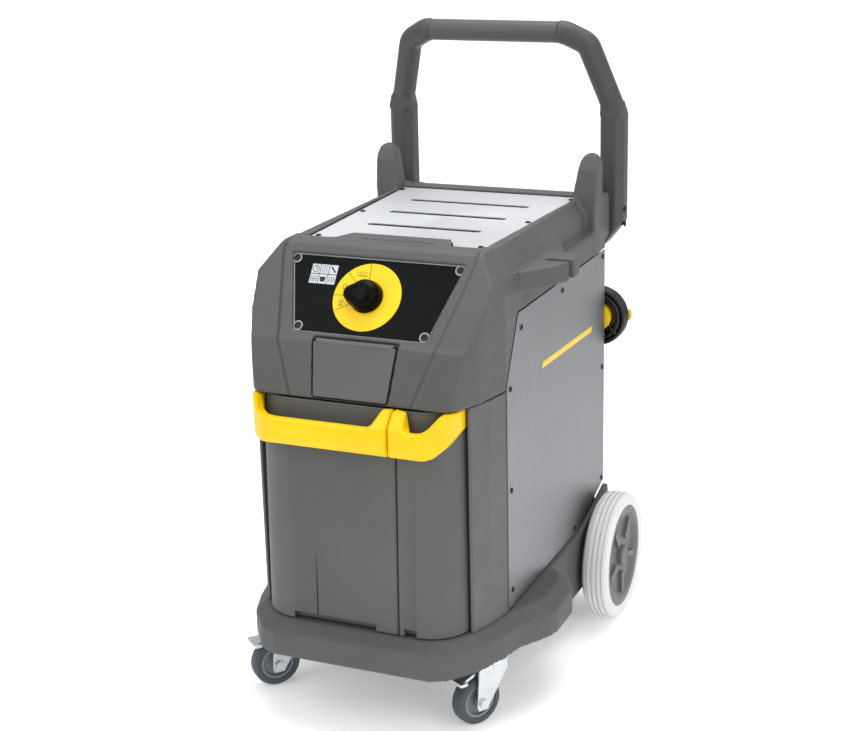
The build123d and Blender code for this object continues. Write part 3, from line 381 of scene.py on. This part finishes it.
# ---------------------------------------------------------------- materials
GREY = rgb(77, 78, 77)
MATERIALS = {
    "housing_grey": fascia_housing("housing_grey", GREY),
    "tank_grey": moulded("tank_grey", rgb(73, 74, 73)),
    "chassis_grey": moulded("chassis_grey", rgb(76, 77, 76), 1900, bump=0.16, rough=0.6, soft=0.004),
    "handle_grey": moulded("handle_grey", rgb(64, 65, 65), rough=0.46, soft=0.004),
    "signal_yellow": gloss("signal_yellow", rgb(246, 199, 0), coat=0.0, soft=0.005, shine=0.32),
    "panel_black": gloss("panel_black", rgb(5, 8, 8), rough=0.3, coat=0.0, shine=0.08),
    "knob_black": moulded("knob_black", rgb(5, 5, 5), 3200, bump=0.06, rough=0.3, wear=0.02, shine=0.08),
    "dial_yellow": gloss("dial_yellow", rgb(244, 202, 18), rough=0.4, coat=0.0, shine=0.3),
    "stainless": brushed("stainless", rgb(136, 138, 141), "z", rough=0.42),
    "zinc_steel": metal("zinc_steel", rgb(206, 210, 214), rough=0.28),
    "black_screw": metal("black_screw", rgb(40, 40, 42), rough=0.4, metallic=0.6),
    "tyre_light": rubber("tyre_light", rgb(218, 218, 217), rough=0.66, dust=0.1),
    "hub_grey": moulded("hub_grey", rgb(92, 92, 91), rough=0.48),
    "caster_tyre": rubber("caster_tyre", rgb(66, 72, 78), rough=0.6),
    "caster_hub": moulded("caster_hub", rgb(112, 118, 124), rough=0.42),
    "cord_black": rubber("cord_black", rgb(7, 7, 8), rough=0.3, grain=2200, dust=0.3),
    "steel_inner": metal("steel_inner", rgb(176, 178, 180), rough=0.36, blotch=25),
    "boiler_steel": brushed("boiler_steel", rgb(184, 186, 188), "z", rough=0.3),
    "insulation": rubber("insulation", rgb(208, 204, 192), rough=0.9, grain=500),
    "brass": metal("brass", rgb(196, 160, 92), rough=0.32),
    "motor_black": moulded("motor_black", rgb(34, 34, 35), grain=2200, rough=0.5, wear=0.1),
    "pump_white": moulded("pump_white", rgb(202, 202, 198), rough=0.5, wear=0.0),
    "filter_paper": rubber("filter_paper", rgb(214, 208, 190), rough=0.88, grain=700),
    "board_green": gloss("board_green", rgb(32, 96, 56), rough=0.4),
}


def finish_nodes():
    """Gives every CAD node the finish of its slot."""
    slots = {part["node"]: part["material_slot"] for part in frame["record"]["subparts"]}
    for name, item in nodes.items():
        item.data.materials.clear()
        item.data.materials.append(MATERIALS[slots[name]])
    nodes["flap_hinge_pin"].data.materials[0] = MATERIALS["knob_black"]
    # Painted light: the up-facing top plate gets a lighter, duller copy of the side steel, painted lit.
    cover = brushed("top_steel_painted_light", rgb(196, 198, 201), "x", rough=0.5, streak=0.06, metallic=0.35)
    nodes["top_plate"].data.materials[0] = cover


def soften(name, grid, rounds):
    """Moulded radius on every edge of one CAD node: a fine even mesh, relaxed a little."""
    item = nodes[name]
    remesh = item.modifiers.new("even_mesh", "REMESH")
    remesh.mode = "VOXEL"
    remesh.voxel_size = grid
    remesh.use_smooth_shade = True
    relax = item.modifiers.new("relaxed_edges", "SMOOTH")
    relax.factor = 0.5
    relax.iterations = rounds


# Node, mesh size and rounds of relaxing: the larger both are, the rounder its edges.
SOFT_MOULDINGS = [
    ("waste_tank_handle", 0.0016, 14), ("fresh_tank_handle", 0.0016, 14), ("push_handle", 0.0024, 8),
    ("chassis_base", 0.0032, 2), ("upper_housing", 0.0022, 2), ("cord_gland", 0.0012, 4),
]

finish_nodes()
for moulding, grid, rounds in SOFT_MOULDINGS:
    soften(moulding, grid, rounds)
cord.data.materials.append(MATERIALS["cord_black"])


# ---------------------------------------------------------------- printed and small added pieces
MM = 1000
PANEL_ORIGIN = Vector((0.0, -0.2285, 0.6325))
PANEL_UP = Vector((0.0, 0.6140, 0.7893))
PANEL_OUT = Vector((0.0, -0.7893, 0.6140))
SIDE_X = 187.7
# Bottom and top of each layer, in millimetres out from the panel's plane.
TRIM_LAYER = (0.5, 1.4)
COLLAR_LAYER = (0.5, 2.0)
TILE_LAYER = (0.5, 0.62)
TILE_PRINT = (0.62, 0.74)
DIAL_PRINT = (1.3, 1.45)


def on_panel(x, y, height):
    """Point on the control panel from millimetres across, up and out."""
    return PANEL_ORIGIN + Vector((x / MM, 0, 0)) + PANEL_UP * (y / MM) + PANEL_OUT * (height / MM)


def on_side(y, z, height):
    """Point on the right side cover from millimetres back, up and out."""
    return Vector(((SIDE_X + height) / MM, y / MM, z / MM))


def add_piece(name, body, material, build):
    """New mesh piece filled by a builder, riding on a body."""
    shape = bmesh.new()
    build(shape)
    bmesh.ops.recalc_face_normals(shape, faces=shape.faces)
    mesh = bpy.data.meshes.new(name)
    shape.to_mesh(mesh)
    shape.free()
    piece = bpy.data.objects.new(name, mesh)
    bpy.context.scene.collection.objects.link(piece)
    mesh.materials.append(material)
    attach(piece, body)
    return piece


def slab(shape, place, outline, low, high):
    """Flat shape with a small thickness, drawn in the plane of place."""
    bottom = [shape.verts.new(place(x, y, low)) for x, y in outline]
    top = [shape.verts.new(place(x, y, high)) for x, y in outline]
    shape.faces.new(top)
    shape.faces.new(bottom[::-1])
    count = len(outline)
    for i in range(count):
        j = (i + 1) % count
        shape.faces.new((bottom[i], bottom[j], top[j], top[i]))


def bar(shape, place, start, end, width, low, high):
    """Straight printed or raised line."""
    run = Vector(end) - Vector(start)
    across = Vector((-run.y, run.x)).normalized() * width / 2
    near = [Vector(start) - across, Vector(end) - across]
    far = [Vector(end) + across, Vector(start) + across]
    slab(shape, place, [tuple(corner) for corner in near + far], low, high)


def ring(shape, place, centre, outer, inner, low, high, count=32):
    """Raised ring."""
    spokes = []
    for i in range(count):
        angle = math.radians(360.0 * i / count)
        x, y = math.cos(angle), math.sin(angle)
        spokes.append([shape.verts.new(place(centre[0] + r * x, centre[1] + r * y, h))
                       for r, h in ((outer, low), (outer, high), (inner, high), (inner, low))])
    for a, b in zip(spokes, spokes[1:] + spokes[:1]):
        for k in range(4):
            m = (k + 1) % 4
            shape.faces.new((a[k], b[k], b[m], a[m]))


def stack_rings(shape, rings):
    """Closed body through rings of the same count."""
    count = len(rings[0])
    for low, high in zip(rings, rings[1:]):
        for i in range(count):
            j = (i + 1) % count
            shape.faces.new((low[i], low[j], high[j], high[i]))
    shape.faces.new(rings[-1])
    shape.faces.new(rings[0][::-1])


PANEL_CORNERS = [(-133, 58.2), (133, 58.2), (100.8, -59.2), (-100.8, -59.2)]
PANEL_SCREWS = [(-126, 51.5), (126, 51.5), (97, -51.3), (-97, -51.3)]
DIAL_MIDDLE = (-3, 0)


def build_trim(shape):
    """Pale raised line round the control panel and collars round its corner screws."""
    for i, start in enumerate(PANEL_CORNERS):
        bar(shape, on_panel, start, PANEL_CORNERS[(i + 1) % 4], 1.5, *TRIM_LAYER)
    for place in PANEL_SCREWS:
        ring(shape, on_panel, place, 7.4, 5.6, *COLLAR_LAYER)


def dial_point(angle, radius):
    """Point of the dial from its angle and radius."""
    angle = math.radians(angle)
    return (DIAL_MIDDLE[0] + radius * math.cos(angle), DIAL_MIDDLE[1] + radius * math.sin(angle))


def upright_marks(shape, centre, offsets):
    """Short slanted strokes side by side on the dial."""
    x, y = centre
    for offset in offsets:
        low_end, high_end = (x + offset - 1.4, y - 3), (x + offset - 0.2, y + 3)
        bar(shape, on_panel, low_end, high_end, 0.7, *DIAL_PRINT)


def level_mark(shape, centre, left, right, drop, width):
    """Level line on the dial, some way below a centre."""
    x, y = centre
    bar(shape, on_panel, (x - left, y - drop), (x + right, y - drop), width, *DIAL_PRINT)


def build_dial_marks(shape):
    """Sector lines of the dial and a plain mark for each setting."""
    for angle in (96, 136, 180, 208):
        bar(shape, on_panel, dial_point(angle, 26.5), dial_point(angle, 50.8), 0.7, *DIAL_PRINT)
    upright_marks(shape, dial_point(114, 39), (-6, -2, 2, 6))
    level_mark(shape, dial_point(114, 34.5), 8.5, 7.5, 0.0, 0.8)
    upright_marks(shape, dial_point(158, 38.5), (-3, 1))
    level_mark(shape, dial_point(158, 38.5), 5, 3, 4.6, 0.8)
    ring(shape, on_panel, dial_point(194, 38.5), 2.9, 2.1, *DIAL_PRINT, 20)
    for drop in (4.6, 6.4):
        level_mark(shape, dial_point(194, 38.5), 3.2, 3.2, drop, 0.7)


TILE_COLUMNS = (-92.5, -78.7, -64.9)
TILE_ROWS = (37.5, 22.1)
TILE_HALF = (6.4, 7.1)


def build_tiles(shape):
    """Six pale tiles of the instruction chart."""
    half_x, half_y = TILE_HALF
    for x in TILE_COLUMNS:
        for y in TILE_ROWS:
            corners = [(x - half_x, y - half_y), (x + half_x, y - half_y),
                       (x + half_x, y + half_y), (x - half_x, y + half_y)]
            slab(shape, on_panel, corners, *TILE_LAYER)


def build_tile_marks(shape):
    """Plain generic symbols on the tiles: clock, lines, rod, grid, bucket, steam."""
    def line(start, end, width):
        bar(shape, on_panel, start, end, width, *TILE_PRINT)

    left, middle, right = TILE_COLUMNS
    upper, lower = TILE_ROWS
    ring(shape, on_panel, (left, upper), 5.2, 4.2, *TILE_PRINT, 24)
    line((left, upper - 0.4), (left, upper + 3.8), 0.9)
    line((left, upper), (left + 2.8, upper), 0.9)
    for i in range(4):
        y = upper - 4.5 + 3 * i
        line((middle - 4.4, y), (middle + 4.4, y), 0.7)
    line((right - 4, upper + 4.2), (right + 4, upper - 4.2), 2.2)
    for i in range(4):
        x = left - 4.4 + 2.9 * i
        line((x, lower - 5), (x, lower + 5), 0.7)
    line((left - 5, lower), (left + 5, lower), 0.7)
    bucket = [(middle - 3.4, lower - 4), (middle + 3.4, lower - 4),
              (middle + 4.8, lower + 3.5), (middle - 4.8, lower + 3.5)]
    slab(shape, on_panel, bucket, *TILE_PRINT)
    for offset in (-3.6, 0, 3.6):
        x = right + offset
        line((x - 1, lower - 4.5), (x + 1, lower), 0.9)
        line((x + 1, lower), (x - 1, lower + 4.5), 0.9)


def build_side_stripe(shape):
    """Plain yellow stripe with slanted ends on the right side cover."""
    slab(shape, on_side, [(-41, 492.0), (193, 483.6), (200, 492.4), (-34, 501.0)], 0.0, 0.15)


# Height above the panel's plane, and share of the full plan size.
KNOB_RINGS = [
    (1.9, 1.0), (5.0, 1.0), (7.0, 0.965), (12.0, 0.93),
    (17.0, 0.86), (21.0, 0.74), (23.6, 0.55), (24.8, 0.3),
]
KNOB_SPOKES = 72
KNOB_RADIUS = 24.4
# How far the pointer stands out, and how many degrees to each side it takes up.
POINTER_REACH = 10.5
POINTER_SPREAD = 46


def knob_radius(angle, height):
    """Plan radius of the knob: round, drawn out to a pointer on its left side."""
    away = abs(math.degrees(angle) - 180)
    lobe = max(0.0, 1 - away / POINTER_SPREAD)
    reach = POINTER_REACH * lobe * lobe * (3 - 2 * lobe)
    return KNOB_RADIUS + reach * (1.0 if height > 7 else 0.75)


def build_knob(shape):
    """Rounded pointer knob."""
    rings = []
    for height, scale in KNOB_RINGS:
        spots = []
        for i in range(KNOB_SPOKES):
            angle = math.radians(360 / KNOB_SPOKES * i)
            radius = knob_radius(angle, height) * scale
            across, up = radius * math.cos(angle), radius * math.sin(angle)
            spots.append(on_panel(DIAL_MIDDLE[0] + across, DIAL_MIDDLE[1] + up, height))
        rings.append([shape.verts.new(spot) for spot in spots])
    stack_rings(shape, rings)


# Plan of the two tanks' mouths and the heights of their rims, in millimetres.
TANK_FRONT = -305
MOUTH_BACK = -144
TANK_ROUND = 60
TANK_SIDES = {"waste": (-158, 68.25), "fresh": (69.75, 158)}
RIM_FOOT, RIM_TOP = 495.5, 500.2
RIM_OUTSIDE, RIM_INSIDE = 0.3, 2.7


def tank_corner(centre, inset, start):
    """Quarter arc of a rounded front corner."""
    radius = TANK_ROUND - inset
    angles = [math.radians(start + 6 * i) for i in range(16)]
    middle = TANK_FRONT + inset + radius
    return [(centre + radius * math.cos(a), middle + radius * math.sin(a)) for a in angles]


def tank_plan(tank, inset):
    """Plan outline of a tank's mouth in millimetres: one front corner is round, the other square."""
    x0, x1 = TANK_SIDES[tank]
    x0 += inset
    x1 -= inset
    points = [(x0, MOUTH_BACK - inset)]
    if tank == "waste":
        points += tank_corner(x0 + TANK_ROUND - inset, inset, 180)
        points.append((x1, TANK_FRONT + inset))
    else:
        points.append((x0, TANK_FRONT + inset))
        points += tank_corner(x1 - TANK_ROUND + inset, inset, 270)
    return points + [(x1, MOUTH_BACK - inset)]


def rim_builder(tank):
    """Builder of the standing rim round a tank's mouth."""
    def build(shape):
        outer = tank_plan(tank, RIM_OUTSIDE)
        inner = tank_plan(tank, RIM_INSIDE)
        levels = ((outer, RIM_FOOT), (outer, RIM_TOP), (inner, RIM_TOP), (inner, RIM_FOOT))
        rings = [[shape.verts.new((x / MM, y / MM, z / MM)) for x, y in outline] for outline, z in levels]
        count = len(outer)
        for k in range(4):
            low, high = rings[k], rings[(k + 1) % 4]
            for i in range(count):
                j = (i + 1) % count
                shape.faces.new((low[i], low[j], high[j], high[i]))
    return build


# Distance along the cord's axis, the centre on the other two axes, and the radius.
GLAND_RELIEF = [
    (-0.0965, LEAD_Y, 0.5770, 0.0098), (-0.0880, LEAD_Y, 0.5770, 0.0092), (-0.0800, LEAD_Y, 0.5766, 0.0085),
    (-0.0740, LEAD_Y, 0.5761, 0.0079), (-0.0680, LEAD_Y, 0.5753, 0.0062), (-0.0620, LEAD_Y, 0.5741, 0.0049),
]
PLUG_RELIEF = [
    (0.3430, -0.0580, 0.2880, 0.0089), (0.3490, -0.0580, 0.2886, 0.0076), (0.3550, -0.0577, 0.2892, 0.0064),
    (0.3610, -0.0574, 0.2898, 0.0055), (0.3660, -0.0570, 0.2898, 0.0049),
]
SLEEVE_SPOKES = 24


def lying(along, first, second):
    """Point of a sleeve whose axis is X."""
    return (along, first, second)


def hanging(along, first, second):
    """Point of a sleeve whose axis is Z."""
    return (first, second, along)


def sleeve_builder(stations, place):
    """Builder of a tapered sleeve round the cord."""
    def build(shape):
        rings = []
        for along, first, second, radius in stations:
            spots = []
            for i in range(SLEEVE_SPOKES):
                angle = math.radians(360 / SLEEVE_SPOKES * i)
                across, up = radius * math.cos(angle), radius * math.sin(angle)
                spots.append(place(along, first + across, second + up))
            rings.append([shape.verts.new(spot) for spot in spots])
        stack_rings(shape, rings)
    return build


def add_small_pieces():
    """Panel trim and print, side stripe, tank rims, strain reliefs and the knob."""
    pale = moulded("trim_pale", rgb(150, 152, 152), rough=0.4, wear=0.1, soft=0.0004)
    white = gloss("chart_white", rgb(196, 200, 204), rough=0.5, coat=0.0, soft=0.0001)
    dark = moulded("print_dark", rgb(30, 30, 26), rough=0.5, wear=0.0, soft=0.0001)
    add_piece("panel_trim", "machine", pale, build_trim)
    add_piece("dial_marks", "machine", dark, build_dial_marks)
    add_piece("chart_tiles", "machine", white, build_tiles)
    add_piece("chart_marks", "machine", dark, build_tile_marks)
    add_piece("side_stripe", "machine", MATERIALS["signal_yellow"], build_side_stripe)
    tank, black = MATERIALS["tank_grey"], MATERIALS["cord_black"]
    add_piece("waste_tank_rim", "waste_tank_body", tank, rim_builder("waste"))
    add_piece("fresh_tank_rim", "fresh_tank_body", tank, rim_builder("fresh"))
    add_piece("gland_relief", "machine", black, sleeve_builder(GLAND_RELIEF, lying))
    add_piece("plug_relief", "machine", black, sleeve_builder(PLUG_RELIEF, hanging))
    knob = add_piece("pointer_knob", "knob", MATERIALS["knob_black"], build_knob)
    for face in knob.data.polygons:
        face.use_smooth = len(face.vertices) == 4
    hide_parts("selector_knob")


add_small_pieces()


# ---------------------------------------------------------------- studio
FLOOR_HALF = 40.0
SKY_LIGHT, SKY_SEEN = 0.66, 1.0
# Glow of the floor: the distances from the machine between which it changes, and its strength at each.
GLOW_SEEN = (0.7, 3.0, 0.27, 0.5)
GLOW_CAST = (0.8, 2.2, 0.3, 0.0)
LIGHT_AIM = Vector((0, 0, 0.45))
# Name, place, size in metres and power in watts.
LIGHTS = [
    ("key_light", (-1.6, -2.6, 2.8), 2.6, 46),
    ("fill_light", (2.9, -1.4, 1.9), 2.4, 34),
    ("top_light", (0.2, 0.5, 3.3), 2.6, 74),
]


def floor_material():
    """Pale floor: it is seen white further off, and gives off light only near the machine."""
    kit = Kit("floor")
    base = kit.mix(kit.noise(1.5), (0.90, 0.90, 0.90, 1), (0.94, 0.94, 0.94, 1))
    kit.set(kit.surface.inputs["Base Color"], base)
    kit.surface.inputs["Roughness"].default_value = 0.8
    kit.surface.inputs["Emission Color"].default_value = (1, 1, 1, 1)
    away = kit.node("ShaderNodeVectorMath", Vector=kit.place)
    away.operation = "LENGTH"
    seen = kit.node("ShaderNodeLightPath").outputs["Is Camera Ray"]
    unseen = kit.math("SUBTRACT", 1.0, seen)
    shown = kit.math("MULTIPLY", kit.span(away.outputs["Value"], *GLOW_SEEN), seen)
    cast = kit.math("MULTIPLY", kit.span(away.outputs["Value"], *GLOW_CAST), unseen)
    kit.set(kit.surface.inputs["Emission Strength"], kit.math("ADD", shown, cast))
    return kit.material


def add_floor():
    """Wide flat floor, kept out of the exported model."""
    mesh = bpy.data.meshes.new("floor")
    half = FLOOR_HALF
    corners = [(-half, -half, 0), (half, -half, 0), (half, half, 0), (-half, half, 0)]
    mesh.from_pydata(corners, [], [(0, 1, 2, 3)])
    mesh.materials.append(floor_material())
    floor = bpy.data.objects.new("floor", mesh)
    bpy.context.scene.collection.objects.link(floor)


def add_sky():
    """White surroundings that light the machine a little less than they show."""
    world = bpy.data.worlds.new("studio")
    world.use_nodes = True
    sky, links = world.node_tree.nodes, world.node_tree.links
    sky["Background"].inputs["Color"].default_value = (1.0, 1.0, 1.0, 1)
    strength = sky.new("ShaderNodeMapRange")
    strength.inputs["To Min"].default_value = SKY_LIGHT
    strength.inputs["To Max"].default_value = SKY_SEEN
    links.new(sky.new("ShaderNodeLightPath").outputs["Is Camera Ray"], strength.inputs["Value"])
    links.new(strength.outputs["Result"], sky["Background"].inputs["Strength"])
    bpy.context.scene.world = world


def add_lights():
    """Large soft lights aimed at the middle of the machine."""
    for name, place, size, power in LIGHTS:
        light = bpy.data.lights.new(name, "AREA")
        light.size = size
        light.energy = power
        holder = bpy.data.objects.new(name, light)
        holder.location = place
        aim = LIGHT_AIM - Vector(place)
        holder.rotation_euler = aim.to_track_quat("-Z", "Y").to_euler()
        bpy.context.scene.collection.objects.link(holder)


add_floor()
add_sky()
add_lights()
bpy.context.scene.view_settings.view_transform = "Standard"
